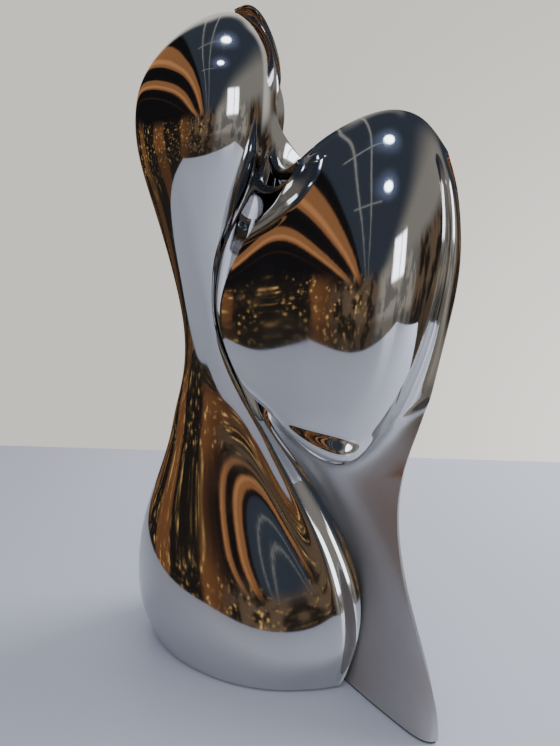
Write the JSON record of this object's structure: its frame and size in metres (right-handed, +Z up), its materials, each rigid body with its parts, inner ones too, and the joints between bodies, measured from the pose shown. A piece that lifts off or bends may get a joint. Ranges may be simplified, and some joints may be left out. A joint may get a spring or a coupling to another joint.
{
  "type": "magnetic desk sculpture",
  "caption": "Two interlocking mirror-polished figures, a tall one with a head and belly and a shield with a sweeping wing, held together by hidden magnets and parted by hand.",
  "frame": {"origin": "centre of the bounding box in plan, on the surface that the felt rests on", "axes": "+Z up along the figures' height, -Y towards the viewer, +X towards the wing figure, the way the two figures part"},
  "size_m": [0.1472, 0.1022, 0.2866],
  "materials": {
    "polished_aluminium": "mirror polished all over, with a fine polishing haze",
    "satin_aluminium": "satin machined face",
    "cast_iron": "turned and blackened",
    "zinc_steel": "zinc plated",
    "nickel_magnet": "nickel plated",
    "felt": "dense dark wool felt"
  },
  "bodies": {
    "tall_figure": {"tall_front_shell": "polished_aluminium", "tall_back_shell": "polished_aluminium", "tall_base_plate": "satin_aluminium", "ballast_weight": "cast_iron", "ballast_screws": "zinc_steel", "tall_base_felt": "felt", "belly_magnet_cup": "zinc_steel", "belly_magnet": "nickel_magnet", "web_magnet": "nickel_magnet"},
    "wing_figure": {"wing_front_shell": "polished_aluminium", "shield_back_plate": "polished_aluminium", "shield_magnet_cup": "zinc_steel", "shield_magnet": "nickel_magnet", "wing_magnet": "nickel_magnet", "wing_base_felt": "felt"}
  },
  "joints": [
    {"name": "wing_slide", "type": "slide", "parent": "tall_figure", "child": "wing_figure", "axis": [1, 0, 0], "range_m": [0, 0.08]}
  ]
}
